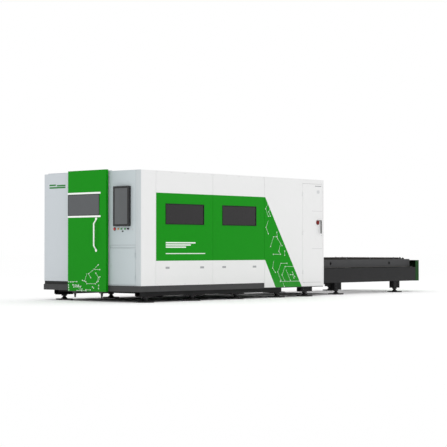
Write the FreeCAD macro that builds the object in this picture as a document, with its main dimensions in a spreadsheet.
"""Fiber laser cutting machine: closed cabin, gantry cutter and a two-level pallet exchange table.

Frame: +X runs along the machine from the operator's end to the exchange table, -Y is the front,
+Z is up. The origin is on the floor, under the middle of the machine's footprint.
Spans below are measured from the cabin's front corner at the operator's end, and `place` moves
them to the origin. A span is a pair (from, to) of expressions on the names in SIZES.
"""
import FreeCAD, Part
import os
import re
import Sketcher

SIZES = {
    # cabin
    "cabin_length": 4886, "cabin_width": 2400, "cabin_height": 2200,
    "panel_depth": 40, "sheet": 3, "panel_gap": 4,
    "seam_corner": 371, "seam_windows": 1771, "seam_cabinet": 3153,
    "base_bottom": 104, "plinth_bottom": 176, "guide_level": 150, "panel_bottom": 276, "cabinet_bottom": 190, "end_panel_bottom": 331,
    "plinth_setback": 8, "plinth_proud": 15, "corner_radius": 40, "corner_return": 96,
    "beam": 120, "beam_wall": 8, "beam_clearance": 6, "post": 60, "post_wall": 3,
    "rear_beam_inset": 220, "cross_beam_first": 1285, "cross_beam_pitch": 1136,
    # feet
    "pad_radius": 150, "pad_height": 20, "cone_radius": 62, "cone_top_radius": 32,
    "cone_height": 30, "stem_radius": 30, "bracket_length": 324, "bracket_width": 110,
    "bracket_height": 12, "table_bracket_length": 220, "table_bracket_width": 100,
    "table_bracket_height": 138,
    # windows and panel latches
    "window_bottom": 1310, "window_top": 1646, "window_lap": 20, "glass": 6,
    "left_window_start": 605, "left_window_end": 1540,
    "right_window_start": 2021, "right_window_end": 2918,
    "latch_length": 85, "latch_height": 25, "latch_depth": 14, "latch_level": 572, "latch_rim": 5,
    # sliding door at the operator's end
    "door_start": 742, "door_end": 1700, "door_bottom": 170, "door_top": 2227,
    "door_thickness": 50, "door_standoff": 20,
    "door_window_start": 906, "door_window_margin": 2, "door_window_bottom": 1459,
    "door_window_top": 1819, "door_glass": 4, "door_window_lap": 16,
    "trim_height": 30, "trim_thickness": 7, "trim_gap": 3, "trim_start": 876,
    "handle_across": 985, "handle_bottom": 873, "handle_top": 1388, "handle_slope": 72,
    "handle_standoff": 55, "handle_radius": 13,
    "jamb_width": 56, "jamb_rear_width": 45, "jamb_depth": 100, "header_height": 160,
    "track_inset": 50, "track_width": 20, "track_height": 15, "hanger_width": 90,
    "hanger_inset": 130, "hanger_plate": 6, "saddle_wall": 10, "running_gap": 0.3,
    "foot_rail_width": 34, "foot_rail_height": 12, "guide_wall": 8, "guide_gap": 1.5,
    "guide_length": 80, "guide_base": 10, "guide_first": 870, "guide_second": 1540,
    "guide_bolt_radius": 24, "guide_bolt_tip": 12, "guide_bolt_length": 80,
    # operator's column
    "column_end": 738, "monitor_start": 219, "monitor_end": 594, "monitor_bottom": 1266,
    "monitor_top": 1936, "monitor_depth": 50, "monitor_frame": 28, "monitor_recess": 6,
    "monitor_glass": 4, "monitor_edge_radius": 12,
    "button_level": 1224, "stop_at": 604, "pause_at": 512, "start_at": 435, "reset_at": 350,
    "key_at": 272, "stop_radius": 22, "button_radius": 15, "button_height": 9,
    "button_lift": 5, "stem_hole_radius": 11, "stem_gap": 0.05,
    "stem_length": 24, "key_length": 22, "key_thickness": 5,
    "drawer_start": 110, "drawer_end": 718, "drawer_bottom": 916, "drawer_top": 951,
    "drawer_gap": 2, "drawer_front": 18, "drawer_depth": 300, "drawer_wall": 2,
    "runner_width": 14, "keyboard_length": 440, "keyboard_width": 150, "keyboard_height": 18,
    "keyboard_setback": 40, "console_door_start": 110, "console_door_end": 728,
    "console_door_bottom": 290, "console_door_top": 904, "leaf_gap": 3, "console_door_depth": 22,
    # electrical cabinet door
    "cabinet_door_start": 4250, "cabinet_door_end": 4850, "cabinet_door_bottom": 262,
    "cabinet_door_top": 2118, "cabinet_door_depth": 30,
    "hinge_radius": 6.5, "hinge_pin_radius": 3, "hinge_pin_gap": 0.05, "hinge_leaf": 28,
    "hinge_leaf_thickness": 3, "hinge_height": 40, "hinge_end_gap": 0.5, "hinge_inset": 160,
    "lever_at": 4760, "lever_bottom": 1181, "lever_top": 1434, "lever_width": 20,
    "lever_thickness": 14, "lever_standoff": 31, "lever_shaft_radius": 8,
    "switch_at": 4700, "switch_level": 1391, "switch_radius": 40, "switch_plate": 10,
    "switch_grip": 24, "switch_grip_width": 18,
    # bed, gantry and cutting head
    "bed_inner": 350, "bed_beam_width": 160, "bed_top": 820, "bed_start": 160, "bed_wall": 10,
    "bed_end_width": 120, "bed_end_top": 700,
    "rail_width": 34, "rail_height": 30,
    "gantry_start": 330, "truck_length": 360, "truck_width": 140, "truck_plate": 20,
    "block_length": 100, "block_width": 70, "block_skirt": 22,
    "gantry_inset": 20, "gantry_width": 180, "gantry_height": 220, "gantry_overhang": 170,
    "gantry_wall": 8, "gantry_motor": 90, "gantry_motor_height": 150, "gantry_motor_inset": 30,
    "beam_rail": 20, "beam_rail_inset": 40, "carriage_start": 370, "carriage_width": 200,
    "carriage_plate": 24, "carriage_block": 12,
    "slide_rail_width": 12, "slide_rail_depth": 8, "slide_rail_offset": 40,
    "slide_bottom": 820, "slide_top": 1320, "slide_width": 120, "slide_thickness": 30,
    "head_radius": 42, "head_bottom": 850, "head_top": 1230, "head_neck_radius": 26,
    "head_cap_radius": 30, "head_standoff": 50, "head_clamp": 90, "head_gap": 0.1,
    "nozzle_radius": 16, "nozzle_tip_radius": 6, "nozzle_bore": 1.5, "nozzle_height": 22,
    "head_cone_height": 66,
    # pallets and their tracks
    "pallet_length": 3306, "pallet_side": 390, "pallet_clearance": 104, "pallet_start": 450,
    "pallet_channel_width": 60, "pallet_channel_height": 150, "pallet_wall": 5,
    "shoe_height": 20, "shoe_length": 160, "shoe_width": 40, "shoe_inset": 120,
    "track_level": 511, "level_drop": 223, "track_thickness": 12, "track_reach": 90,
    "track_begin": 530, "track_end_gap": 185,
    "slat_height": 80, "tooth_height": 27, "tooth_count": 25,
    "slat_thickness": 5, "slat_pitch": 110, "slat_count": 29, "slat_inset": 110,
    "ledge": 10, "ledge_width": 30, "ledge_drop": 81, "tie": 55, "tie_count": 5,
    "tie_drop": 150, "lug_length": 60, "lug_height": 41, "lug_thickness": 8,
    "lug_first": 389, "lug_second": 1197, "lug_third": 1997, "lug_fourth": 2806,
    "lug_fifth": 3033,
    "hook_hole_radius": 28, "hook_hole_level": 72, "hook_hole_inset": 614,
    # exchange table
    "pallet_end_gap": 89, "table_side": 300, "table_bottom": 228, "table_beam_height": 80,
    "table_top_beam": 60, "table_skirt_top": 511, "table_cover": 3, "table_upright": 60,
    "table_wall": 4, "cross_tube_height": 44, "cross_tube_width": 80,
    "end_cover_depth": 120, "end_cover_top": 657, "end_cover_proud": 2,
    "tray_length": 1126, "tray_bottom": 196, "tray_side": 500,
    "table_foot_first": 834, "table_foot_second": 2814, "table_cross_end": 45,
    "sprocket_radius": 111, "chain_inner_radius": 111.5, "chain_height": 10, "chain_width": 14,
    "chain_gap": 8, "chain_centre": 410, "chain_idler": 410, "shaft_inset": 50,
    "shaft_radius": 20, "gearbox_length": 78, "gearbox_width": 140, "motor_radius": 60,
    "motor_length": 260, "idler_width": 12,
    # machine room and back
    "shelf_height": 40, "source_start": 3780, "source_length": 620,
    "source_depth": 760, "source_height": 520, "source_inset": 200,
    "drives_length": 500, "drives_depth": 300, "drives_height": 1180, "drives_inset": 20,
    "duct_radius": 100, "duct_wall": 3, "duct_reach": 70, "duct_inside": 90,
    "duct_flange": 20, "duct_flange_thickness": 4, "duct_level": 1700,
    "duct_first": 1500, "duct_second": 2900, "back_panel_width": 1221.5,
}

doc = FreeCAD.newDocument("LaserCutter")
sheet = doc.addObject("Spreadsheet::Sheet", "Sizes")
for row, (alias, value) in enumerate(SIZES.items(), start=1):
    sheet.set(f"A{row}", alias)
    sheet.set(f"B{row}", str(value))
    sheet.setAlias(f"B{row}", alias)
doc.recompute()

ALIAS = re.compile(r"\b(" + "|".join(sorted(SIZES, key=len, reverse=True)) + r")\b")
NODES = []

# places that several pieces share, measured from the cabin's front corner
DOOR_OUTER = "(-door_standoff - door_thickness)"
REACH_START = f"({DOOR_OUTER} - handle_standoff - handle_radius)"
UPPER_REST = "(cabin_length + pallet_clearance)"
TABLE_END = f"({UPPER_REST} + pallet_length + pallet_end_gap)"
REACH_END = f"({TABLE_END} + end_cover_depth)"
LEVER_FRONT = "(-lever_standoff - lever_thickness)"
FRONT_REACH = f"min({LEVER_FRONT}; panel_depth + beam / 2 - pad_radius)"
BACK_REACH = "(cabin_width + duct_reach)"
BASE_TOP = "(panel_bottom - beam_clearance)"
TOP_BEAM_BOTTOM = "(cabin_height - panel_depth - post)"
TOP_BEAM_TOP = "(cabin_height - panel_depth)"
BACK_INNER = "(cabin_width - panel_depth)"
END_INNER = "(cabin_length - panel_depth)"
CENTRE = {"x": f"({REACH_START} + {REACH_END}) / 2", "y": f"({FRONT_REACH} + {BACK_REACH}) / 2"}
AXES = ("x", "y", "z")


def text(expression):
    """The expression with each size's name turned into a reference to its cell."""
    return ALIAS.sub(r"Sizes.\1", str(expression))


def bind(thing, prop, expression):
    thing.setExpression(prop, text(expression))


def place(thing, x=0, y=0, z=0):
    """Bind a thing's base point, given from the cabin's corner, in the machine's own frame."""
    bind(thing, "Placement.Base.x", f"({x}) - ({CENTRE['x']})")
    bind(thing, "Placement.Base.y", f"({y}) - ({CENTRE['y']})")
    bind(thing, "Placement.Base.z", z)


def across(span):
    """The same span on the other side of the machine's long centre line."""
    return (f"cabin_width - ({span[1]})", f"cabin_width - ({span[0]})")


def grown(span, amount):
    return (f"({span[0]}) - ({amount})", f"({span[1]}) + ({amount})")


def block(name, x, y, z):
    solid = doc.addObject("Part::Box", name)
    for prop, span in zip(("Length", "Width", "Height"), (x, y, z)):
        bind(solid, prop, f"({span[1]}) - ({span[0]})")
    place(solid, x[0], y[0], z[0])
    return solid


def rod(name, along, centre, span, radius, end_radius=None):
    """A cylinder, or a cone where end_radius is given, along one axis.

    centre holds the two other coordinates, in X, Y, Z order."""
    kind = "Part::Cylinder" if end_radius is None else "Part::Cone"
    solid = doc.addObject(kind, name)
    bind(solid, "Height", f"({span[1]}) - ({span[0]})")
    if end_radius is None:
        bind(solid, "Radius", radius)
    else:
        bind(solid, "Radius1", radius)
        bind(solid, "Radius2", end_radius)
    turn = {"x": ((0, 1, 0), 90), "y": ((1, 0, 0), -90), "z": ((0, 0, 1), 0)}[along]
    solid.Placement.Rotation = FreeCAD.Rotation(FreeCAD.Vector(*turn[0]), turn[1])
    where = list(centre)
    where.insert(AXES.index(along), span[0])
    place(solid, *where)
    return solid


def cut(name, base, tools):
    if len(tools) > 1:
        tools = [fuse(f"{name}_tools", tools, refine=False)]
    result = doc.addObject("Part::Cut", name)
    result.Base = base
    result.Tool = tools[0]
    return result


def fuse(name, parts, refine=True):
    result = doc.addObject("Part::MultiFuse", name)
    result.Shapes = parts
    result.Refine = refine
    return result


def group(name, parts):
    result = doc.addObject("Part::Compound", name)
    result.Links = parts
    return result


def node(name, thing):
    """Name a finished sub-part and put it on the list of what is written."""
    thing.Label = name
    NODES.append(thing)
    return thing


def tray(name, x, y, z, opening, holes=()):
    """A folded sheet panel: a face with returned edges, open on one side."""
    spans = [x, y, z]
    inner = [(f"({lo}) + sheet", f"({hi}) - sheet") for lo, hi in spans]
    axis = AXES.index(opening[1])
    if opening[0] == "+":
        inner[axis] = (inner[axis][0], f"({spans[axis][1]}) + sheet")
    else:
        inner[axis] = (f"({spans[axis][0]}) - sheet", inner[axis][1])
    return cut(name, block(f"{name}_outer", *spans), [block(f"{name}_inner", *inner), *holes])


def tube(name, along, x, y, z, wall):
    """A square tube with open ends."""
    spans = [x, y, z]
    inner = [grown(span, f"-({wall})") for span in spans]
    inner[AXES.index(along)] = grown(spans[AXES.index(along)], wall)
    return cut(name, block(f"{name}_outer", *spans), [block(f"{name}_bore", *inner)])


def origin_plane(body, role):
    return next(item for item in body.Origin.OriginFeatures if item.Role == role)


def profile(body, name, plane, points, closed=True):
    """A sketch whose corners are each held at their two distances from the body's origin."""
    sketch = body.newObject("Sketcher::SketchObject", name)
    sketch.AttachmentSupport = [(origin_plane(body, plane), "")]
    sketch.MapMode = "FlatFace"
    count = len(points)
    seeds = [FreeCAD.Vector(*[value_of(part) for part in point], 0) for point in points]
    last = count if closed else count - 1
    for index in range(last):
        line = Part.LineSegment(seeds[index], seeds[(index + 1) % count])
        sketch.addGeometry(line, False)
    for index in range(last if closed else last - 1):
        sketch.addConstraint(Sketcher.Constraint("Coincident", index, 2, (index + 1) % last, 1))
    for index, point in enumerate(points):
        corner = (index, 1) if index < last else (index - 1, 2)
        for kind, letter, part in (("DistanceX", "u", point[0]), ("DistanceY", "v", point[1])):
            rule = Sketcher.Constraint(kind, -1, 1, *corner, value_of(part))
            number = sketch.addConstraint(rule)
            sketch.renameConstraint(number, f"{letter}{index}")
            bind(sketch, f"Constraints.{letter}{index}", part)
    return sketch


def value_of(expression):
    """The number an expression stands for, used as a sketch's starting place."""
    return float(FreeCAD.Units.Quantity(str(sheet.evalExpression(text(expression)))).Value)


def pad(body, name, sketch, depth, backwards=False):
    feature = body.newObject("PartDesign::Pad", name)
    feature.Profile = sketch
    bind(feature, "Length", depth)
    feature.Reversed = backwards
    return feature


def turned(name, points, x, y):
    """A piece turned about the vertical; points are (radius, height) pairs."""
    body = doc.addObject("PartDesign::Body", name)
    outline = profile(body, f"{name}_outline", "XZ_Plane", points)
    feature = body.newObject("PartDesign::Revolution", f"{name}_turn")
    feature.Profile = outline
    feature.ReferenceAxis = (origin_plane(body, "Z_Axis"), [""])
    feature.Angle = 360
    place(body, x, y, 0)
    return body


# ---------------------------------------------------------------- base frame, plinth and feet
FRAME_X = ("panel_depth", END_INNER)
FRONT_BEAM = ("panel_depth", "panel_depth + beam")
REAR_BEAM = ("cabin_width - rear_beam_inset - beam", "cabin_width - rear_beam_inset")
BASE_Z = ("base_bottom", BASE_TOP)
ROOM_Z = ("plinth_bottom", BASE_TOP)
DOOR_END_Z = ("guide_level", BASE_TOP)
CROSS_STARTS = ["panel_depth"]
CROSS_STARTS += [f"cross_beam_first + {n} * cross_beam_pitch" for n in range(3)]
CROSS_STARTS += [f"{END_INNER} - beam"]
BED_FRAME_END = f"{CROSS_STARTS[3]} + beam"

base_beams = [
    tube(f"base_{side}_{part}", "x", along, span, z, "beam_wall")
    for side, span in (("front", FRONT_BEAM), ("rear", REAR_BEAM))
    for part, along, z in (("bed", (FRAME_X[0], BED_FRAME_END), BASE_Z),
                           ("room", (BED_FRAME_END, FRAME_X[1]), ROOM_Z))
]
for number, start in enumerate(CROSS_STARTS):
    span = (start, f"{start} + beam")
    cross_z = {0: DOOR_END_Z, 4: ROOM_Z}.get(number, BASE_Z)
    outrigger_z = ROOM_Z if number in (0, 4) else BASE_Z
    base_beams.append(tube(f"base_cross_{number}", "y", span, (FRONT_BEAM[1], REAR_BEAM[0]),
                           cross_z, "beam_wall"))
    base_beams.append(tube(f"base_outrigger_{number}", "y", span, (REAR_BEAM[1], BACK_INNER),
                           outrigger_z, "beam_wall"))
node("base_beams", group("base", base_beams))

PLINTH_FRONT = ("plinth_setback", "panel_depth")
PLINTH_BACK = (BACK_INNER, "cabin_width - plinth_setback")
LOW_Z = ("plinth_bottom", "cabinet_bottom - panel_gap / 2")
HIGH_Z = ("plinth_bottom", "panel_bottom")
node("plinth_covers", group("plinth", [
    tray("plinth_front", ("panel_depth", "seam_cabinet - panel_gap / 2"), PLINTH_FRONT,
         HIGH_Z, "+y"),
    tray("plinth_cabinet", ("seam_cabinet + panel_gap / 2", "cabin_length - plinth_setback"),
         PLINTH_FRONT, LOW_Z, "+y"),
    tray("plinth_operator", ("-plinth_proud", "panel_depth"), (0, "cabin_width"), HIGH_Z, "+x"),
    tray("plinth_recess", ("panel_depth / 4", "panel_depth"), ("door_end + panel_gap / 2",
         "cabin_width"), ("panel_bottom", "end_panel_bottom"), "+x"),
    tray("plinth_back", ("panel_depth", END_INNER), PLINTH_BACK, HIGH_Z, "-y"),
    tray("plinth_table_end", (END_INNER, "cabin_length - plinth_setback"),
         ("panel_depth", BACK_INNER), LOW_Z, "-x"),
]))

FRONT_FOOT = "(panel_depth + beam / 2)"
REAR_FOOT = "(cabin_width - rear_beam_inset - beam / 2)"
END_FOOT = "(panel_depth + beam * 3 / 2)"
FOOT_ROW = [END_FOOT] + [f"({start} + beam / 2)" for start in CROSS_STARTS[1:4]]
FOOT_ROW += [f"({END_INNER} - beam * 7 / 2)"]
TABLE_FEET_X = ("cabin_length + table_foot_first", "cabin_length + table_foot_second")
TABLE_FOOT_Y = ("table_side + table_cover", "table_side + table_cover + table_bracket_width")


def levelling_foot(name, x, y, top):
    """A pad, its ball cone and the threaded stem, up to the bracket that it carries."""
    cone_top = "pad_height + cone_height"
    return turned(name, [(0, 0), ("pad_radius", 0), ("pad_radius", "pad_height"),
                         ("cone_radius", "pad_height"), ("cone_top_radius", cone_top),
                         ("stem_radius", cone_top), ("stem_radius", top), (0, top)], x, y)


brackets = []
feet = []
for row, foot_y in (("front", FRONT_FOOT), ("rear", REAR_FOOT)):
    for number, foot_x in enumerate(FOOT_ROW):
        spot = f"{row}_{number}"
        bottom = "base_bottom - bracket_height"
        top = "plinth_bottom" if foot_x == FOOT_ROW[-1] else "base_bottom"
        brackets.append(block(f"bracket_{spot}", grown((foot_x, foot_x), "bracket_length / 2"),
                              grown((foot_y, foot_y), "bracket_width / 2"),
                              (bottom, top)))
        feet.append(levelling_foot(f"foot_{spot}", foot_x, foot_y, bottom))
for row, side in (("front", TABLE_FOOT_Y), ("rear", across(TABLE_FOOT_Y))):
    for number, foot_x in enumerate(TABLE_FEET_X):
        spot = f"table_{row}_{number}"
        bottom = "table_bottom - table_bracket_height"
        brackets.append(block(f"bracket_{spot}", grown((foot_x, foot_x),
                              "table_bracket_length / 2"), side, (bottom, "table_bottom")))
        middle = f"(({side[0]}) + ({side[1]})) / 2"
        feet.append(levelling_foot(f"foot_{spot}", foot_x, middle, bottom))
node("foot_brackets", group("brackets", brackets))
node("levelling_feet", group("feet", feet))

# ---------------------------------------------------------------- cabin frame
POST_Z = (BASE_TOP, TOP_BEAM_BOTTOM)
FRONT_POST = ("panel_depth", "panel_depth + post")
BACK_POST = (f"{BACK_INNER} - post", BACK_INNER)
LAST_POST = f"{END_INNER} - post"
FRONT_POST_STARTS = ["panel_depth", "seam_corner - post / 2", "seam_windows - post / 2",
                     "seam_cabinet - post / 2", LAST_POST]
CROSS_POST_STARTS = ["panel_depth"]
CROSS_POST_STARTS += [f"{start} + (beam - post) / 2" for start in CROSS_STARTS[1:4]]
CROSS_POST_STARTS += [LAST_POST]

frame = []
for side, starts, span in (("front", FRONT_POST_STARTS, FRONT_POST),
                           ("back", CROSS_POST_STARTS, BACK_POST)):
    for number, start in enumerate(starts):
        frame.append(tube(f"post_{side}_{number}", "z", (start, f"{start} + post"), span,
                          POST_Z, "post_wall"))
    frame.append(tube(f"top_beam_{side}", "x", FRAME_X, span,
                      (TOP_BEAM_BOTTOM, TOP_BEAM_TOP), "post_wall"))
for number, start in enumerate(CROSS_POST_STARTS):
    frame.append(tube(f"top_cross_{number}", "y", (start, f"{start} + post"),
                      (FRONT_POST[1], BACK_POST[0]), (TOP_BEAM_BOTTOM, TOP_BEAM_TOP),
                      "post_wall"))
node("cabin_frame", group("frame", frame))

# ---------------------------------------------------------------- front panels
FACE = (0, "panel_depth")
PANEL_Z = ("panel_bottom", "cabin_height")
WINDOW_Z = ("window_bottom", "window_top")


def corner_shell(name, inset, z):
    """The L-shaped corner panel's outline, set in by a distance, with its rounded corner."""
    depth = "panel_depth" if inset == 0 else f"panel_depth + {inset}"
    along = f"seam_corner - panel_gap / 2 - {inset}"
    back = f"corner_return - {inset}"
    body = doc.addObject("PartDesign::Body", name)
    outline = profile(body, f"{name}_outline", "XY_Plane",
                      [(inset, inset), (along, inset), (along, depth), (depth, depth),
                       (depth, back), (inset, back)])
    pad(body, f"{name}_pad", outline, f"({z[1]}) - ({z[0]})")
    doc.recompute()
    solid = body.Tip
    edge = next(number for number, item in enumerate(solid.Shape.Edges, start=1)
                if item.BoundBox.XMax < value_of(inset) + 1
                and item.BoundBox.YMax < value_of(inset) + 1)
    fillet = body.newObject("PartDesign::Fillet", f"{name}_round")
    fillet.Base = (solid, [f"Edge{edge}"])
    bind(fillet, "Radius", f"corner_radius - {inset}")
    place(body, 0, 0, z[0])
    return body


node("corner_panel", cut("corner", corner_shell("corner_outer", 0, PANEL_Z),
                         [corner_shell("corner_inner", "sheet", grown(PANEL_Z, "-sheet"))]))


def latch_spots(window):
    """Where the two flush latches sit under a window, near its ends."""
    return [f"({window[0]}) + latch_length / 2", f"({window[1]}) - latch_length / 2"]


latches = []
panes = []
for side, span, window in (
        ("left", ("seam_corner + panel_gap / 2", "seam_windows - panel_gap / 2"),
         ("left_window_start", "left_window_end")),
        ("right", ("seam_windows + panel_gap / 2", "seam_cabinet - panel_gap / 2"),
         ("right_window_start", "right_window_end"))):
    through = ("-sheet", "2 * sheet")
    holes = [block(f"window_hole_{side}", window, through, WINDOW_Z)]
    for number, spot in enumerate(latch_spots(window)):
        latch_x = grown((spot, spot), "latch_length / 2")
        latch_z = grown(("latch_level", "latch_level"), "latch_height / 2")
        holes.append(block(f"latch_hole_{side}_{number}", latch_x, through, latch_z))
        latch = block(f"latch_body_{side}_{number}", grown(latch_x, "-running_gap"),
                      (0, "latch_depth"), grown(latch_z, "-running_gap"))
        plate = block(f"latch_plate_{side}_{number}", grown(latch_x, "latch_rim"),
                      ("-sheet / 2", 0), grown(latch_z, "latch_rim"))
        latches.append(fuse(f"latch_{side}_{number}", [latch, plate]))
    node(f"front_panel_{side}", tray(f"front_{side}", span, FACE, PANEL_Z, "+y", holes))
    panes.append(block(f"pane_{side}", grown(window, "window_lap"), ("sheet", "sheet + glass"),
                       grown(WINDOW_Z, "window_lap")))
node("panel_latches", group("latches", latches))
node("front_windows", group("panes", panes))


# ---------------------------------------------------------------- hinges
def hinge(name, face, edge, level):
    """A lift-off hinge on a leaf's edge: the fixed half with its pin, and the half it carries.

    face is "front" for a leaf in the front wall and "end" for one in the operator's end wall.
    The hinge line stands proud of the wall, on the leaf's low-X or low-Y edge."""
    axis = "-hinge_radius - running_gap"
    centre = (edge, axis) if face == "front" else (axis, edge)
    low = (level, f"{level} + hinge_height")
    high = (f"{low[1]} + hinge_end_gap", f"{low[1]} + hinge_end_gap + hinge_height")
    halves = []
    for half, span, direction in (("fixed", low, -1), ("moving", high, 1)):
        knuckle = rod(f"{name}_{half}_knuckle", "z", centre, span, "hinge_radius")
        across_leaf = sorted_span(edge, f"{edge} + ({direction}) * hinge_leaf", direction)
        out = ("-hinge_leaf_thickness", 0)
        leaf = block(f"{name}_{half}_leaf", *((across_leaf, out) if face == "front"
                                              else (out, across_leaf)), span)
        halves.append([knuckle, leaf])
    pin_top = f"{high[1]} - hinge_height / 4"
    halves[0].append(rod(f"{name}_pin", "z", centre, (low[0], pin_top), "hinge_pin_radius"))
    bore = rod(f"{name}_bore", "z", centre, (f"{high[0]} - 1", f"{pin_top} + hinge_end_gap"),
               "hinge_pin_radius + hinge_pin_gap")
    return halves[0], halves[1], bore


def sorted_span(start, end, direction):
    return (start, end) if direction > 0 else (end, start)


def hinged_pair(name, face, edge, levels, wall, leaf):
    """Fuse the hinges' halves to the wall and to the leaf that swings on them."""
    fixed_parts = [wall]
    moving_parts = [leaf]
    bores = []
    for number, level in enumerate(levels):
        fixed, moving, bore = hinge(f"{name}_hinge_{number}", face, edge, level)
        fixed_parts += fixed
        moving_parts += moving
        bores.append(bore)
    return (fuse(f"{name}_wall_with_hinges", fixed_parts),
            cut(f"{name}_leaf_with_hinges", fuse(f"{name}_leaf_joined", moving_parts), bores))


# ---------------------------------------------------------------- electrical cabinet, right front
CABINET_OPENING_X = ("cabinet_door_start", "cabinet_door_end")
CABINET_OPENING_Z = ("cabinet_door_bottom", "cabinet_door_top")
cabinet_wall = tray("cabinet_wall", ("seam_cabinet + panel_gap / 2", "cabin_length"), FACE,
                    ("cabinet_bottom", "cabin_height"), "+y",
                    [block("cabinet_opening", CABINET_OPENING_X, ("-sheet", "2 * sheet"),
                           CABINET_OPENING_Z)])
LEVER_PIVOT = "(lever_top - lever_width / 2)"
shaft_holes = [
    rod("lever_hole", "y", ("lever_at", LEVER_PIVOT), ("-sheet", "2 * sheet"),
        "lever_shaft_radius + stem_gap"),
    rod("switch_hole", "y", ("switch_at", "switch_level"), ("-sheet", "2 * sheet"),
        "lever_shaft_radius + stem_gap"),
]
cabinet_leaf = tray("cabinet_leaf", grown(CABINET_OPENING_X, "-leaf_gap"),
                    (0, "cabinet_door_depth"), grown(CABINET_OPENING_Z, "-leaf_gap"), "+y",
                    shaft_holes)
CABINET_LEVELS = ["cabinet_door_bottom + hinge_inset",
                  "(cabinet_door_bottom + cabinet_door_top) / 2 - hinge_height",
                  "cabinet_door_top - hinge_inset - 2 * hinge_height"]
CABINET_HINGE_EDGE = "cabinet_door_start + leaf_gap / 2"
cabinet_wall, cabinet_leaf = hinged_pair("cabinet", "front", CABINET_HINGE_EDGE,
                                         CABINET_LEVELS, cabinet_wall, cabinet_leaf)
node("cabinet_front_panel", cabinet_wall)
node("cabinet_door", cabinet_leaf)

LEVER_Y = (LEVER_FRONT, "-lever_standoff")
node("cabinet_door_lever", fuse("lever", [
    block("lever_bar", grown(("lever_at", "lever_at"), "lever_width / 2"), LEVER_Y,
          ("lever_bottom + lever_width / 2", LEVER_PIVOT)),
    rod("lever_bottom_round", "y", ("lever_at", "lever_bottom + lever_width / 2"), LEVER_Y,
        "lever_width / 2"),
    rod("lever_top_round", "y", ("lever_at", LEVER_PIVOT), LEVER_Y, "lever_width / 2"),
    rod("lever_shaft", "y", ("lever_at", LEVER_PIVOT),
        ("-lever_standoff", "cabinet_door_depth - sheet"), "lever_shaft_radius"),
    block("lever_cam", ("lever_at", "lever_at + 2 * lever_width"),
          ("cabinet_door_depth / 2", "cabinet_door_depth / 2 + sheet"),
          grown((LEVER_PIVOT, LEVER_PIVOT), "lever_width / 3")),
]))
SWITCH_Y = ("-running_gap - switch_plate", "-running_gap")
node("main_switch", fuse("switch", [
    rod("switch_disc", "y", ("switch_at", "switch_level"), SWITCH_Y, "switch_radius"),
    block("switch_grip", grown(("switch_at", "switch_at"), "switch_grip_width / 2"),
          (f"{SWITCH_Y[0]} - switch_grip", SWITCH_Y[0]),
          grown(("switch_level", "switch_level"), "switch_radius - switch_plate / 2")),
    rod("switch_shaft", "y", ("switch_at", "switch_level"),
        (SWITCH_Y[1], "cabinet_door_depth - sheet"), "lever_shaft_radius"),
]))

# ---------------------------------------------------------------- operator's column
BUTTONS = {
    "emergency_stop": ("stop_at", "stop_radius"),
    "pause_button": ("pause_at", "button_radius"),
    "start_button": ("start_at", "button_radius"),
    "reset_button": ("reset_at", "button_radius"),
    "key_switch": ("key_at", "button_radius"),
}
WALL_X = (0, "panel_depth")
THROUGH_X = ("-sheet", "2 * sheet")
DRAWER_Y = ("drawer_start", "drawer_end")
DRAWER_Z = ("drawer_bottom", "drawer_top")
CONSOLE_Y = ("console_door_start", "console_door_end")
CONSOLE_Z = ("console_door_bottom", "console_door_top")
column_holes = [block("drawer_slot", THROUGH_X, DRAWER_Y, DRAWER_Z),
                block("console_opening", THROUGH_X, CONSOLE_Y, CONSOLE_Z)]
for name, (spot, _) in BUTTONS.items():
    column_holes.append(rod(f"{name}_hole", "x", (spot, "button_level"), THROUGH_X,
                            "stem_hole_radius"))
column_wall = tray("column_wall", WALL_X, ("corner_return + panel_gap / 2", "column_end"),
                   PANEL_Z, "+x", column_holes)
RUNNER_X = ("sheet", "drawer_front + drawer_depth")
RUNNER_Z = ("drawer_bottom - sheet", "drawer_bottom")
runners = [column_wall]
for number, side in enumerate((("drawer_start", "drawer_start + runner_width"),
                               ("drawer_end - runner_width", "drawer_end"))):
    runners.append(block(f"drawer_runner_{number}", RUNNER_X, side, RUNNER_Z))
column_wall = fuse("column_with_runners", runners)
console_leaf = tray("console_leaf", (0, "console_door_depth"), grown(CONSOLE_Y, "-leaf_gap"),
                    grown(CONSOLE_Z, "-leaf_gap"), "+x")
CONSOLE_LEVELS = ["console_door_bottom + hinge_inset / 2",
                  "console_door_top - hinge_inset / 2 - 2 * hinge_height"]
column_wall, console_leaf = hinged_pair("console", "end",
                                        "console_door_start + leaf_gap / 2", CONSOLE_LEVELS,
                                        column_wall, console_leaf)
node("operator_panel", column_wall)
node("console_door", console_leaf)

MONITOR_Y = ("monitor_start", "monitor_end")
MONITOR_Z = ("monitor_bottom", "monitor_top")
GLASS_Y = grown(MONITOR_Y, "-monitor_frame")
GLASS_Z = grown(MONITOR_Z, "-monitor_frame")
monitor = doc.addObject("PartDesign::Body", "monitor")
monitor_outline = profile(monitor, "monitor_outline", "YZ_Plane",
                          [(0, 0), ("monitor_end - monitor_start", 0),
                           ("monitor_end - monitor_start", "monitor_top - monitor_bottom"),
                           (0, "monitor_top - monitor_bottom")])
slab = pad(monitor, "monitor_pad", monitor_outline, "monitor_depth", backwards=True)
doc.recompute()
upright = [f"Edge{number}" for number, item in enumerate(slab.Shape.Edges, start=1)
           if item.BoundBox.XLength > value_of("monitor_depth") - 1]
monitor_round = monitor.newObject("PartDesign::Fillet", "monitor_round")
monitor_round.Base = (slab, upright)
bind(monitor_round, "Radius", "monitor_edge_radius")
place(monitor, 0, "monitor_start", "monitor_bottom")
RECESS_X = ("-monitor_depth - 1", "-monitor_depth + monitor_recess")
node("monitor_housing", cut("housing", monitor,
                            [block("screen_recess", RECESS_X, GLASS_Y, GLASS_Z)]))
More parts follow.
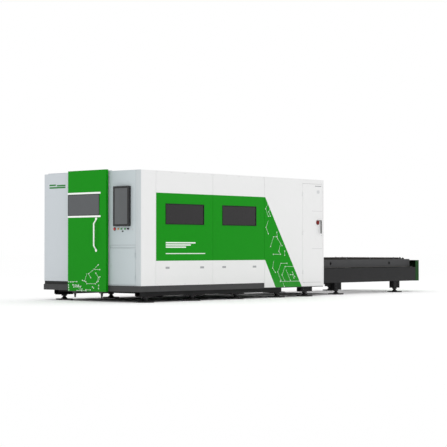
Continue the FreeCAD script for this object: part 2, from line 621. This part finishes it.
node("monitor_glass", block("screen", (f"{RECESS_X[1]} - monitor_glass", RECESS_X[1]),
                            grown(GLASS_Y, "-running_gap"), grown(GLASS_Z, "-running_gap")))

for name, (spot, radius) in BUTTONS.items():
    cap = ("-button_lift - button_height", "-button_lift")
    parts = [
        rod(f"{name}_cap", "x", (spot, "button_level"), cap, radius),
        rod(f"{name}_stem", "x", (spot, "button_level"), (cap[1], "stem_length"),
            "stem_hole_radius - stem_gap"),
    ]
    if name == "key_switch":
        parts.append(block("key_bow", (f"{cap[0]} - key_length", cap[0]),
                           grown((spot, spot), "key_thickness / 2"),
                           grown(("button_level", "button_level"), "key_length / 2")))
    node(name, fuse(f"{name}_body", parts))

TRAY_Y = grown(DRAWER_Y, "-drawer_gap")
TRAY_Z = ("drawer_bottom + running_gap", "drawer_top - drawer_gap")
KEYBOARD_Z = ("drawer_bottom + running_gap + drawer_wall",
              "drawer_bottom + running_gap + drawer_wall + keyboard_height")
drawer_tray = cut("drawer_tray",
                  block("drawer_outer", (0, "drawer_front + drawer_depth"), TRAY_Y, TRAY_Z),
                  [block("drawer_hollow", ("drawer_front",
                                           "drawer_front + drawer_depth - drawer_wall"),
                         grown(TRAY_Y, "-drawer_wall"),
                         (KEYBOARD_Z[0], "drawer_top + drawer_gap"))])
node("keyboard_drawer", drawer_tray)
MIDDLE_Y = "(drawer_start + drawer_end) / 2"
KEYBOARD_X = ("drawer_front + keyboard_setback",
              "drawer_front + keyboard_setback + keyboard_width")
node("keyboard", block("keys", KEYBOARD_X, grown((MIDDLE_Y, MIDDLE_Y), "keyboard_length / 2"),
                       KEYBOARD_Z))

# ---------------------------------------------------------------- operator's end wall and doorway
node("end_panel", tray("end_wall", WALL_X, ("door_end + panel_gap / 2", "cabin_width"),
                       ("end_panel_bottom", "cabin_height"), "+x"))
JAMB_FRONT = ("door_start", "door_start + jamb_width")
JAMB_REAR = ("door_end - jamb_rear_width", "door_end")
HEADER_Z = ("cabin_height - panel_depth - header_height", TOP_BEAM_BOTTOM)
JAMB_POST_X = ("panel_depth", "jamb_depth")
node("doorway_frame", group("doorway", [
    tube("jamb_front", "z", JAMB_POST_X, JAMB_FRONT, POST_Z, "post_wall"),
    tube("jamb_rear", "z", JAMB_POST_X, JAMB_REAR, POST_Z, "post_wall"),
    tube("header", "y", JAMB_POST_X, (JAMB_FRONT[1], JAMB_REAR[0]), HEADER_Z, "post_wall"),
    tray("lintel", WALL_X, ("door_start", "door_end"), (HEADER_Z[0], "cabin_height"), "+x"),
    tray("jamb_cover_front", WALL_X, JAMB_FRONT, ("panel_bottom", HEADER_Z[0]), "+x"),
    tray("jamb_cover_rear", WALL_X, JAMB_REAR, ("panel_bottom", HEADER_Z[0]), "+x"),
]))

# ---------------------------------------------------------------- sliding door
LEAF_X = (DOOR_OUTER, "-door_standoff")
LEAF_Y = ("door_start", "door_end")
LEAF_Z = ("door_bottom", "door_top")
DOOR_GLASS_Y = ("door_window_start", "door_end - door_window_margin")
DOOR_GLASS_Z = ("door_window_bottom", "door_window_top")
DOOR_HOLE_Y = grown(DOOR_GLASS_Y, "-door_window_lap")
DOOR_HOLE_Z = grown(DOOR_GLASS_Z, "-door_window_lap")
leaf_shell = cut("leaf_shell", block("leaf_outer", LEAF_X, LEAF_Y, LEAF_Z), [
    block("leaf_hollow", *(grown(span, "-sheet") for span in (LEAF_X, LEAF_Y, LEAF_Z))),
    block("door_window_hole", grown(LEAF_X, 1), DOOR_HOLE_Y, DOOR_HOLE_Z),
])
node("sliding_door_leaf", fuse("leaf", [
    leaf_shell,
    tube("window_sleeve", "x", LEAF_X, grown(DOOR_HOLE_Y, "sheet"), grown(DOOR_HOLE_Z, "sheet"),
         "sheet"),
]))
node("sliding_door_window", block("door_pane", (f"{DOOR_OUTER} - door_glass", DOOR_OUTER),
                                  DOOR_GLASS_Y, DOOR_GLASS_Z))
TRIM_X = (f"{DOOR_OUTER} - trim_thickness", DOOR_OUTER)
TRIM_Y = ("trim_start", DOOR_GLASS_Y[1])
node("sliding_door_trims", group("trims", [
    block("trim_low", TRIM_X, TRIM_Y, ("door_window_bottom - trim_gap - trim_height",
                                       "door_window_bottom - trim_gap")),
    block("trim_high", TRIM_X, TRIM_Y, ("door_window_top + trim_gap",
                                        "door_window_top + trim_gap + trim_height")),
]))

def leaning_leg(name, level, upwards):
    """A leg of the bow handle, rooted behind the door's face and leaning out to the grip."""
    root = f"{DOOR_OUTER} + handle_standoff / 4"
    rise = "-handle_slope / 4" if upwards else "handle_slope / 4"
    leg = rod(name, "z", (root, "handle_across"), (0, "handle_slope"), "handle_radius")
    bind(leg, "Height", "5 / 4 * sqrt(handle_standoff * handle_standoff"
                        " + handle_slope * handle_slope)")
    leg.Placement.Rotation = FreeCAD.Rotation(FreeCAD.Vector(0, 1, 0), -30)
    lean = "-atan(handle_standoff / handle_slope)"
    bind(leg, "Placement.Rotation.Angle", lean if upwards else f"-180 deg - ({lean})")
    bind(leg, "Placement.Base.z", f"{level} + {rise}")
    return leg


def ball(name, x, y, z, radius):
    solid = doc.addObject("Part::Sphere", name)
    bind(solid, "Radius", radius)
    place(solid, x, y, z)
    return solid


GRIP_X = f"({DOOR_OUTER} - handle_standoff)"
GRIP_Z = ("handle_bottom + handle_slope", "handle_top - handle_slope")
node("sliding_door_handle", cut("handle", fuse("bow", [
    leaning_leg("leg_low", "handle_bottom", True),
    leaning_leg("leg_high", "handle_top", False),
    rod("grip", "z", (GRIP_X, "handle_across"), GRIP_Z, "handle_radius"),
    ball("bend_low", GRIP_X, "handle_across", GRIP_Z[0], "handle_radius"),
    ball("bend_high", GRIP_X, "handle_across", GRIP_Z[1], "handle_radius"),
]), [block("door_side", LEAF_X, LEAF_Y, ("handle_bottom - handle_slope",
                                         "handle_top + handle_slope"))]))

TRACK_X = ("track_inset", "track_inset + track_width")
TRACK_Z = ("cabin_height", "cabin_height + track_height")
SADDLE_X = grown(TRACK_X, "running_gap + saddle_wall")
SADDLE_Z = ("cabin_height + running_gap", "cabin_height + track_height + running_gap")
PLATE_Z = (SADDLE_Z[1], f"{SADDLE_Z[1]} + hanger_plate")
FOOT_RAIL_X = ("-door_standoff - (door_thickness + foot_rail_width) / 2",
               "-door_standoff - (door_thickness - foot_rail_width) / 2")
FOOT_RAIL_Z = ("door_bottom - foot_rail_height", "door_bottom")
hangers = [block("foot_rail", FOOT_RAIL_X, grown(LEAF_Y, "-panel_gap"), FOOT_RAIL_Z)]
for number, spot in enumerate(("door_start + hanger_inset", "door_end - hanger_inset")):
    hanger_y = grown((spot, spot), "hanger_width / 2")
    arm = block(f"hanger_arm_{number}", ("-door_standoff", SADDLE_X[1]), hanger_y, PLATE_Z)
    saddle = block(f"hanger_saddle_{number}", SADDLE_X, hanger_y, SADDLE_Z)
    down = block(f"hanger_down_{number}", ("-door_standoff", "-door_standoff + hanger_plate"),
                 hanger_y, ("cabin_height - header_height / 2", PLATE_Z[1]))
    groove = block(f"hanger_groove_{number}", grown(TRACK_X, "running_gap"),
                   grown(hanger_y, 1), (TRACK_Z[0], SADDLE_Z[1]))
    hangers.append(cut(f"hanger_{number}", fuse(f"hanger_{number}_joined", [arm, saddle, down]),
                       [groove]))
node("sliding_door_hangers", group("door_hangers", hangers))

track = [block("roof_track", TRACK_X, ("door_start", "cabin_width - panel_depth"), TRACK_Z)]
CHEEK_X = grown(FOOT_RAIL_X, "guide_gap + guide_wall")
GUIDE_SLOT_X = grown(FOOT_RAIL_X, "guide_gap")
GUIDE_Z = ("guide_level - guide_base", "door_bottom - guide_gap")
for number, spot in enumerate(("guide_first", "guide_second")):
    guide_y = grown((spot, spot), "guide_length / 2")
    cheeks = block(f"guide_cheeks_{number}", CHEEK_X, guide_y, GUIDE_Z)
    slot = block(f"guide_slot_{number}", GUIDE_SLOT_X, grown(guide_y, 1),
                 ("guide_level", "door_bottom"))
    arm = block(f"guide_arm_{number}", (CHEEK_X[0], "panel_depth + beam / 2"), guide_y,
                (GUIDE_Z[0], "guide_level"))
    bolt = rod(f"guide_bolt_{number}", "z", ("-door_standoff - door_thickness / 2", spot),
               (f"{GUIDE_Z[0]} - guide_bolt_length", GUIDE_Z[0]), "guide_bolt_tip",
               "guide_bolt_radius")
    track.append(fuse(f"guide_{number}", [cut(f"guide_channel_{number}", cheeks, [slot]), arm,
                                          bolt]))
node("door_track", group("tracks", track))

# ---------------------------------------------------------------- back, table end and roof
DUCTS = ("duct_first", "duct_second")
duct_holes = [rod(f"duct_hole_{number}", "y", (spot, "duct_level"),
                  ("cabin_width - 2 * sheet", "cabin_width + sheet"),
                  "duct_radius + duct_wall + running_gap")
              for number, spot in enumerate(DUCTS)]
BACK_SEAMS = ["panel_depth", "back_panel_width", "2 * back_panel_width", "3 * back_panel_width",
              END_INNER]
back_panels = []
roof_panels = []
for number, (start, end) in enumerate(zip(BACK_SEAMS, BACK_SEAMS[1:])):
    low = start if number == 0 else f"{start} + panel_gap / 2"
    high = end if number == 3 else f"{end} - panel_gap / 2"
    holes = [duct_holes[{1: 0, 2: 1}[number]]] if number in (1, 2) else []
    back_panels.append(tray(f"back_{number}", (low, high), (BACK_INNER, "cabin_width"),
                            PANEL_Z, "-y", holes))
    roof_panels.append(tray(f"roof_{number}", (low, high), ("panel_depth", BACK_INNER),
                            (TOP_BEAM_TOP, "cabin_height"), "-z"))
node("back_panels", group("back", back_panels))
node("roof_panels", group("roof", roof_panels))

SLOT_Y = ("bed_inner", "cabin_width - bed_inner")
SLOT_TOP = "bed_top - 2 * track_thickness"
TABLE_WALL_X = (END_INNER, "cabin_length")
node("table_end_panels", group("table_end", [
    tray("table_end_top", TABLE_WALL_X, ("panel_depth", "cabin_width"),
         (SLOT_TOP, "cabin_height"), "-x"),
    tray("table_end_front", TABLE_WALL_X, ("panel_depth", SLOT_Y[0]),
         ("cabinet_bottom", SLOT_TOP), "-x"),
    tray("table_end_rear", TABLE_WALL_X, (SLOT_Y[1], "cabin_width"),
         ("cabinet_bottom", SLOT_TOP), "-x"),
    tray("table_end_sill", TABLE_WALL_X, SLOT_Y,
         ("cabinet_bottom", "track_level - level_drop - track_thickness"), "-x"),
]))

ducts = []
for number, spot in enumerate(DUCTS):
    centre = (spot, "duct_level")
    pipe = (f"{BACK_INNER} - post - duct_inside", BACK_REACH)
    ducts.append(cut(f"duct_{number}", fuse(f"duct_body_{number}", [
        rod(f"duct_outer_{number}", "y", centre, pipe, "duct_radius + duct_wall"),
        rod(f"duct_flange_{number}", "y", centre,
            ("cabin_width", "cabin_width + duct_flange_thickness"),
            "duct_radius + duct_wall + duct_flange"),
    ]), [rod(f"duct_bore_{number}", "y", centre, grown(pipe, 1), "duct_radius")]))
node("exhaust_spigots", group("spigots", ducts))

# ---------------------------------------------------------------- machine room
ROOM_Y = ("panel_depth + post", f"{BACK_INNER} - post")
PARTITION_X = (f"({CROSS_POST_STARTS[3]} + post)",
               f"({CROSS_POST_STARTS[3]} + post + panel_depth)")
SHELF_TOP = "(bed_top + shelf_height)"
node("room_partition", group("partition", [
    tray("room_wall", PARTITION_X, ROOM_Y,
         ("bed_top", TOP_BEAM_TOP), "+x"),
    tray("room_shelf", (PARTITION_X[1], END_INNER), ROOM_Y,
         ("bed_top", SHELF_TOP), "-z"),
]))
SOURCE_Y = (f"{ROOM_Y[1]} - source_inset - source_depth", f"{ROOM_Y[1]} - source_inset")
node("laser_source", block("source", ("source_start", "source_start + source_length"),
                           SOURCE_Y, (SHELF_TOP, f"{SHELF_TOP} + source_height")))
DRIVES_X = (f"{LAST_POST} - drives_inset - drives_length", f"{LAST_POST} - drives_inset")
node("drive_cabinet", block("drives", DRIVES_X,
                            (f"{ROOM_Y[0]} + drives_inset",
                             f"{ROOM_Y[0]} + drives_inset + drives_depth"),
                            (SHELF_TOP, f"{SHELF_TOP} + drives_height")))

# ---------------------------------------------------------------- bed and gantry rails
BED_FRONT = ("bed_inner - bed_beam_width", "bed_inner")
BED_X = ("bed_start", END_INNER)
BED_Z = (BASE_TOP, "bed_top")
node("bed_beams", group("bed", [
    tube("bed_front", "x", BED_X, BED_FRONT, BED_Z, "bed_wall"),
    tube("bed_rear", "x", BED_X, across(BED_FRONT), BED_Z, "bed_wall"),
    tube("bed_end", "y", ("bed_start", "bed_start + bed_end_width"), SLOT_Y,
         (BASE_TOP, "bed_end_top"), "bed_wall"),
]))
RAIL_MIDDLE = "(bed_inner - bed_beam_width / 2)"
RAIL_Y = grown((RAIL_MIDDLE, RAIL_MIDDLE), "rail_width / 2")
RAIL_Z = ("bed_top", "bed_top + rail_height")
RAIL_X = ("gantry_start - panel_depth / 4", f"{PARTITION_X[0]} - panel_depth / 4")
node("gantry_rails", group("rails", [
    block("rail_front", RAIL_X, RAIL_Y, RAIL_Z),
    block("rail_rear", RAIL_X, across(RAIL_Y), RAIL_Z),
]))

# ---------------------------------------------------------------- gantry
TRUCK_X = ("gantry_start", "gantry_start + truck_length")
BLOCK_Z = ("bed_top + rail_height - block_skirt", "bed_top + rail_height + block_skirt")
TRUCK_Z = (BLOCK_Z[1], f"{BLOCK_Z[1]} + truck_plate")
GANTRY_Z = (TRUCK_Z[1], f"{TRUCK_Z[1]} + gantry_height")
GANTRY_X = ("gantry_start + gantry_inset", "gantry_start + gantry_inset + gantry_width")
MOTOR_X = ("gantry_start + truck_length - gantry_motor_inset - gantry_motor",
           "gantry_start + truck_length - gantry_motor_inset")
trucks = []
motors = []
for side, turn_over in (("front", lambda span: span), ("rear", across)):
    truck_y = turn_over(grown((RAIL_MIDDLE, RAIL_MIDDLE), "truck_width / 2"))
    block_y = turn_over(grown((RAIL_MIDDLE, RAIL_MIDDLE), "block_width / 2"))
    parts = [block(f"truck_plate_{side}", TRUCK_X, truck_y, TRUCK_Z)]
    for number, span in enumerate(((TRUCK_X[0], f"{TRUCK_X[0]} + block_length"),
                                   (f"{TRUCK_X[1]} - block_length", TRUCK_X[1]))):
        parts.append(block(f"truck_block_{side}_{number}", span, block_y, BLOCK_Z))
    groove = block(f"truck_groove_{side}", grown(TRUCK_X, 1),
                   turn_over(grown(RAIL_Y, "running_gap")),
                   ("bed_top", f"{RAIL_Z[1]} + running_gap"))
    trucks.append(cut(f"truck_{side}", fuse(f"truck_joined_{side}", parts), [groove]))
    motor_y = turn_over(grown((RAIL_MIDDLE, RAIL_MIDDLE), "gantry_motor / 2"))
    motors.append(block(f"gantry_motor_{side}", MOTOR_X, motor_y,
                        (TRUCK_Z[1], f"{TRUCK_Z[1]} + gantry_motor_height")))
node("gantry_trucks", group("trucks", trucks))
node("gantry_motors", group("motors", motors))

BEAM_Y = ("gantry_overhang", "cabin_width - gantry_overhang")
BEAM_RAIL_X = (GANTRY_X[1], f"{GANTRY_X[1]} + beam_rail")
BEAM_RAILS = [(f"{GANTRY_Z[0]} + beam_rail_inset", f"{GANTRY_Z[0]} + beam_rail_inset + beam_rail"),
              (f"{GANTRY_Z[1]} - beam_rail_inset - beam_rail",
               f"{GANTRY_Z[1]} - beam_rail_inset")]
beam_parts = [block(f"beam_rail_{number}", BEAM_RAIL_X, BEAM_Y, span)
              for number, span in enumerate(BEAM_RAILS)]
node("gantry_beam", fuse("gantry_beam_with_rails", [
    tube("gantry_box", "y", GANTRY_X, BEAM_Y, GANTRY_Z, "gantry_wall"), *beam_parts]))

# ---------------------------------------------------------------- carriage and cutting head
CARRIAGE_Y = ("carriage_start", "carriage_start + carriage_width")
CARRIAGE_MIDDLE = "(carriage_start + carriage_width / 2)"
CARRIAGE_PLATE_X = (f"{BEAM_RAIL_X[1]} + carriage_block",
                    f"{BEAM_RAIL_X[1]} + carriage_block + carriage_plate")
SLIDE_RAIL_X = (CARRIAGE_PLATE_X[1], f"{CARRIAGE_PLATE_X[1]} + slide_rail_depth")
carriage_parts = [block("carriage_face", CARRIAGE_PLATE_X, CARRIAGE_Y,
                        grown(GANTRY_Z, "-beam_rail"))]
grooves = []
for number, span in enumerate(BEAM_RAILS):
    carriage_parts.append(block(f"carriage_block_{number}",
                                (f"{GANTRY_X[1]} + running_gap * 10", CARRIAGE_PLATE_X[0]),
                                CARRIAGE_Y, grown(span, "carriage_block")))
    grooves.append(block(f"carriage_groove_{number}", (GANTRY_X[1],
                         f"{BEAM_RAIL_X[1]} + running_gap"), grown(CARRIAGE_Y, 1),
                         grown(span, "running_gap")))
slide_rails = []
for number, offset in enumerate(("-slide_rail_offset", "slide_rail_offset")):
    middle = f"{CARRIAGE_MIDDLE} + ({offset})"
    slide_rails.append(grown((middle, middle), "slide_rail_width / 2"))
    carriage_parts.append(block(f"slide_rail_{number}", SLIDE_RAIL_X, slide_rails[-1],
                                grown(GANTRY_Z, "-beam_rail")))
node("carriage", cut("carriage_body", fuse("carriage_joined", carriage_parts), grooves))

SLIDE_X = (f"{SLIDE_RAIL_X[0]} + running_gap", f"{SLIDE_RAIL_X[0]} + slide_thickness")
SLIDE_Z = ("slide_bottom", "slide_top")
HEAD_CENTRE = (f"{SLIDE_X[1]} + head_standoff", CARRIAGE_MIDDLE)
HEAD_CLAMP_Z = ("head_bottom + head_clamp", "head_bottom + 2 * head_clamp")
slide_grooves = [block(f"slide_groove_{number}", (SLIDE_RAIL_X[0],
                       f"{SLIDE_RAIL_X[1]} + running_gap"), grown(span, "running_gap"),
                       grown(SLIDE_Z, 1)) for number, span in enumerate(slide_rails)]
slide_grooves.append(rod("head_seat", "z", HEAD_CENTRE, grown(HEAD_CLAMP_Z, 1),
                         "head_radius + head_gap"))
slide_y = grown((CARRIAGE_MIDDLE, CARRIAGE_MIDDLE), "slide_width / 2")
node("head_slide", cut("slide_body", fuse("slide_joined", [
    block("slide_plate", SLIDE_X, slide_y, SLIDE_Z),
    block("head_bracket", (SLIDE_X[1], HEAD_CENTRE[0]), slide_y, HEAD_CLAMP_Z),
]), slide_grooves))

CONE_BOTTOM = "(head_bottom - head_cone_height)"
node("laser_head", turned("cutting_head", [
    (0, CONE_BOTTOM), ("nozzle_radius", CONE_BOTTOM), ("head_neck_radius", "head_bottom"),
    ("head_radius", "head_bottom"), ("head_radius", "head_top"),
    ("head_cap_radius", "head_top"), ("head_cap_radius", "head_top + head_clamp"),
    (0, "head_top + head_clamp")], *HEAD_CENTRE))
NOZZLE_TIP = f"({CONE_BOTTOM} - nozzle_height)"
node("nozzle", turned("nozzle_cone", [
    ("nozzle_bore", NOZZLE_TIP), ("nozzle_tip_radius", NOZZLE_TIP),
    ("nozzle_radius", f"{CONE_BOTTOM} - nozzle_height / 3"), ("nozzle_radius", CONE_BOTTOM),
    ("nozzle_bore", CONE_BOTTOM)], *HEAD_CENTRE))

# ---------------------------------------------------------------- pallets and their tracks
PALLET_SIDE = ("pallet_side", "pallet_side + pallet_channel_width")
TRACK_Y = ("bed_inner", "bed_inner + track_reach")
TRACK_RUN = ("track_begin", f"{TABLE_END} - track_end_gap")
LUGS = ("lug_first", "lug_second", "lug_third", "lug_fourth", "lug_fifth")


def track_top(level):
    return f"(track_level - {level} * level_drop)"


tracks = []
for level in (0, 1):
    top = track_top(level)
    span = (f"{top} - track_thickness", top)
    for side, track_y in (("front", TRACK_Y), ("rear", across(TRACK_Y))):
        tracks.append(block(f"track_{side}_{level}", TRACK_RUN, track_y, span))
node("pallet_tracks", group("pallet_track_bars", tracks))


def slats(name, start, bottom):
    """A row of cutting slats with toothed tops, standing on the pallet's ledges."""
    body = doc.addObject("PartDesign::Body", name)
    body.AllowCompound = True
    length = f"(cabin_width - 2 * ({PALLET_SIDE[1]}))"
    corners = [(0, 0), (length, 0)]
    for tooth in reversed(range(SIZES["tooth_count"])):
        corners.append((f"{length} * {tooth + 1} / tooth_count", "slat_height"))
        corners.append((f"{length} * ({tooth} + 1 / 2) / tooth_count",
                        "slat_height + tooth_height"))
    corners.append((0, "slat_height"))
    outline = profile(body, f"{name}_outline", "YZ_Plane", corners)
    slat = pad(body, f"{name}_slat", outline, "slat_thickness")
    row = body.newObject("PartDesign::LinearPattern", f"{name}_row")
    row.Originals = [slat]
    row.Direction = (origin_plane(body, "X_Axis"), [""])
    row.Mode = "Spacing"
    bind(row, "Offset", "slat_pitch")
    bind(row, "Occurrences", "slat_count")
    body.Tip = row
    place(body, start, PALLET_SIDE[1], bottom)
    return body


def pallet(name, start, level):
    """A frame of two side channels and its ties, on four shoes, and the slats that it carries."""
    x = (start, f"({start}) + pallet_length")
    bottom = f"({track_top(level)} + shoe_height)"
    channel_z = (bottom, f"{bottom} + pallet_channel_height")
    ledge_z = (f"{channel_z[1]} - ledge_drop", f"{channel_z[1]} - ledge_drop + ledge")
    parts = []
    for side, turn_over in (("front", lambda span: span), ("rear", across)):
        part = f"{name}_{side}"
        web = turn_over(PALLET_SIDE)
        holes = [rod(f"{part}_hook_{number}", "y", (spot, f"{bottom} + hook_hole_level"),
                     grown(web, 1), "hook_hole_radius")
                 for number, spot in enumerate((f"{x[0]} + hook_hole_inset",
                                                f"{x[1]} - hook_hole_inset - shoe_inset"))]
        ledge_y = turn_over((PALLET_SIDE[1], f"{PALLET_SIDE[1]} + ledge_width"))
        pieces = [tube(f"{part}_channel", "x", x, web, channel_z, "pallet_wall"),
                  block(f"{part}_ledge", x, ledge_y, ledge_z)]
        shoe_y = turn_over((PALLET_SIDE[0], f"{PALLET_SIDE[0]} + shoe_width"))
        for number, shoe in enumerate((f"{x[0]} + shoe_inset",
                                       f"{x[1]} - shoe_inset - shoe_length")):
            pieces.append(block(f"{part}_shoe_{number}", (shoe, f"{shoe} + shoe_length"),
                                shoe_y, (f"{track_top(level)} + running_gap", bottom)))
        lug_y = turn_over((f"{PALLET_SIDE[1]} - lug_thickness", PALLET_SIDE[1]))
        for number, spot in enumerate(LUGS):
            middle = f"{x[0]} + {spot}"
            crown = f"{channel_z[1]} + lug_height - lug_length / 2"
            pieces.append(block(f"{part}_lug_{number}", grown((middle, middle),
                                "lug_length / 2"), lug_y, (channel_z[1], crown)))
            pieces.append(rod(f"{part}_crown_{number}", "y", (middle, crown), lug_y,
                              "lug_length / 2"))
        parts.append(cut(f"{part}_side", fuse(f"{part}_side_joined", pieces), holes))
    ties = [f"{x[0]} + {number} * (pallet_length - tie) / (tie_count - 1)"
            for number in range(SIZES["tie_count"])]
    for number, tie in enumerate(ties):
        parts.append(tube(f"{name}_tie_{number}", "y", (tie, f"{tie} + tie"),
                          (PALLET_SIDE[1], f"cabin_width - ({PALLET_SIDE[1]})"),
                          (f"{channel_z[1]} - tie_drop", f"{channel_z[1]} - tie_drop + tie"),
                          "table_wall"))
    node(f"{name}_pallet_frame", group(f"{name}_frame", parts))
    node(f"{name}_pallet_slats", slats(f"{name}_slats", f"{x[0]} + slat_inset", ledge_z[1]))


pallet("upper", UPPER_REST, 0)
pallet("lower", "pallet_start", 1)

# ---------------------------------------------------------------- exchange table
TABLE_X = ("cabin_length", TABLE_END)
WALL_Y = ("table_side + table_cover", "bed_inner")
GEARBOX_MIDDLE = f"({TABLE_END} - table_cross_end)"
LOW_BEAM_Z = ("table_bottom", "table_bottom + table_beam_height")
TOP_BEAM_Z = ("table_skirt_top - table_top_beam", "table_skirt_top")
CROSS_TUBES = ["cabin_length + cross_tube_width / 2", *TABLE_FEET_X, GEARBOX_MIDDLE]
table = []
for side, turn_over in (("front", lambda span: span), ("rear", across)):
    wall_y = turn_over(WALL_Y)
    table.append(tube(f"table_low_{side}", "x", TABLE_X, wall_y, LOW_BEAM_Z, "table_wall"))
    table.append(tube(f"table_high_{side}", "x", TABLE_X, wall_y, TOP_BEAM_Z, "table_wall"))
    for number, spot in enumerate(CROSS_TUBES):
        table.append(tube(f"table_upright_{side}_{number}", "z",
                          grown((spot, spot), "table_upright / 2"), wall_y,
                          (LOW_BEAM_Z[1], TOP_BEAM_Z[0]), "table_wall"))
for number, spot in enumerate(CROSS_TUBES):
    table.append(tube(f"table_cross_{number}", "y", grown((spot, spot), "cross_tube_width / 2"),
                      SLOT_Y, ("table_bottom", "table_bottom + cross_tube_height"),
                      "table_wall"))
node("table_beams", group("table_frame", table))

SKIRT_Y = ("table_side", "table_side + table_cover")
SKIRT_Z = ("table_bottom", "table_skirt_top")
node("table_covers", group("covers", [
    block("skirt_front", TABLE_X, SKIRT_Y, SKIRT_Z),
    block("skirt_rear", TABLE_X, across(SKIRT_Y), SKIRT_Z),
    tray("drip_tray", ("cabin_length", "cabin_length + tray_length"),
         ("tray_side", "cabin_width - tray_side"), ("tray_bottom", "table_bottom"), "+z"),
]))
END_COVER_Y = ("table_side - end_cover_proud", "cabin_width - table_side + end_cover_proud")
node("table_end_cover", tray("end_cover", (TABLE_X[1], REACH_END), END_COVER_Y,
                             ("table_bottom - end_cover_proud", "end_cover_top"), "-x"))

# ---------------------------------------------------------------- exchange drive
SHAFT_X = f"({TABLE_END} - shaft_inset)"
CHAIN_Y = ("bed_inner + chain_gap", "bed_inner + chain_gap + chain_width")
SPROCKET_Y = grown(CHAIN_Y, "-(chain_width - idler_width) / 2")


def racetrack(name, y, radius):
    """The outline that runs round the drive sprocket and the idler shoe."""
    ends = [rod(f"{name}_{end}", "y", (spot, "chain_centre"), y, radius)
            for end, spot in (("drive", SHAFT_X), ("idler", "chain_idler"))]
    middle = block(f"{name}_middle", ("chain_idler", SHAFT_X), y,
                   grown(("chain_centre", "chain_centre"), radius))
    return fuse(name, [*ends, middle])


chains = []
for side, turn_over in (("front", lambda span: span), ("rear", across)):
    chain_y = turn_over(CHAIN_Y)
    chains.append(cut(f"chain_{side}", racetrack(f"chain_outer_{side}", chain_y,
                                                 "chain_inner_radius + chain_height"),
                      [racetrack(f"chain_inner_{side}", grown(chain_y, 1),
                                 "chain_inner_radius")]))
    chains.append(fuse(f"idler_{side}", [
        rod(f"idler_disc_{side}", "y", ("chain_idler", "chain_centre"),
            turn_over(SPROCKET_Y), "sprocket_radius"),
        rod(f"idler_axle_{side}", "y", ("chain_idler", "chain_centre"),
            turn_over(("bed_inner", SPROCKET_Y[0])), "shaft_radius"),
    ]))
node("exchange_chains", group("chain_loops", chains))

SHAFT_Y = ("bed_inner + running_gap", "cabin_width - bed_inner - running_gap")
node("exchange_shaft", fuse("shaft", [
    rod("shaft_bar", "y", (SHAFT_X, "chain_centre"), SHAFT_Y, "shaft_radius"),
    rod("sprocket_front", "y", (SHAFT_X, "chain_centre"), SPROCKET_Y, "sprocket_radius"),
    rod("sprocket_rear", "y", (SHAFT_X, "chain_centre"), across(SPROCKET_Y),
        "sprocket_radius"),
]))
GEARBOX_Y = grown(("cabin_width / 2", "cabin_width / 2"), "gearbox_width / 2")
GEARBOX_X = grown((GEARBOX_MIDDLE, GEARBOX_MIDDLE), "gearbox_length / 2")
MOTOR_LEVEL = "(table_bottom + cross_tube_height + motor_radius)"
node("exchange_motor", cut("gear_motor", fuse("gear_motor_joined", [
    block("gearbox", GEARBOX_X, GEARBOX_Y,
          ("table_bottom + cross_tube_height", "chain_centre + motor_radius")),
    rod("motor_case", "y", (GEARBOX_MIDDLE, MOTOR_LEVEL),
        (GEARBOX_Y[1], f"{GEARBOX_Y[1]} + motor_length"), "motor_radius * 3 / 5"),
]), [rod("gearbox_bore", "y", (SHAFT_X, "chain_centre"), grown(GEARBOX_Y, 1),
         "shaft_radius + stem_gap")]))

# ---------------------------------------------------------------- write every sub-part
doc.recompute()
failed = [item.Name for item in doc.Objects if {"Invalid", "Error"} & set(item.State)]
if failed:
    raise SystemExit(f"these did not build: {failed}")
names = [thing.Label for thing in NODES]
if len(set(names)) != len(names) or len(names) > 60:
    raise SystemExit(f"{len(names)} sub-parts, some with the same name or too many")
for thing in NODES:
    if thing.Shape.isNull() or not thing.Shape.isValid() or not thing.Shape.Solids:
        raise SystemExit(f"{thing.Label} has no sound shape")
os.makedirs("parts", exist_ok=True)
for thing in NODES:
    thing.Shape.exportStep(f"parts/{thing.Label}.step")
print(f"{len(NODES)} sub-parts, {sum(len(thing.Shape.Solids) for thing in NODES)} solids")
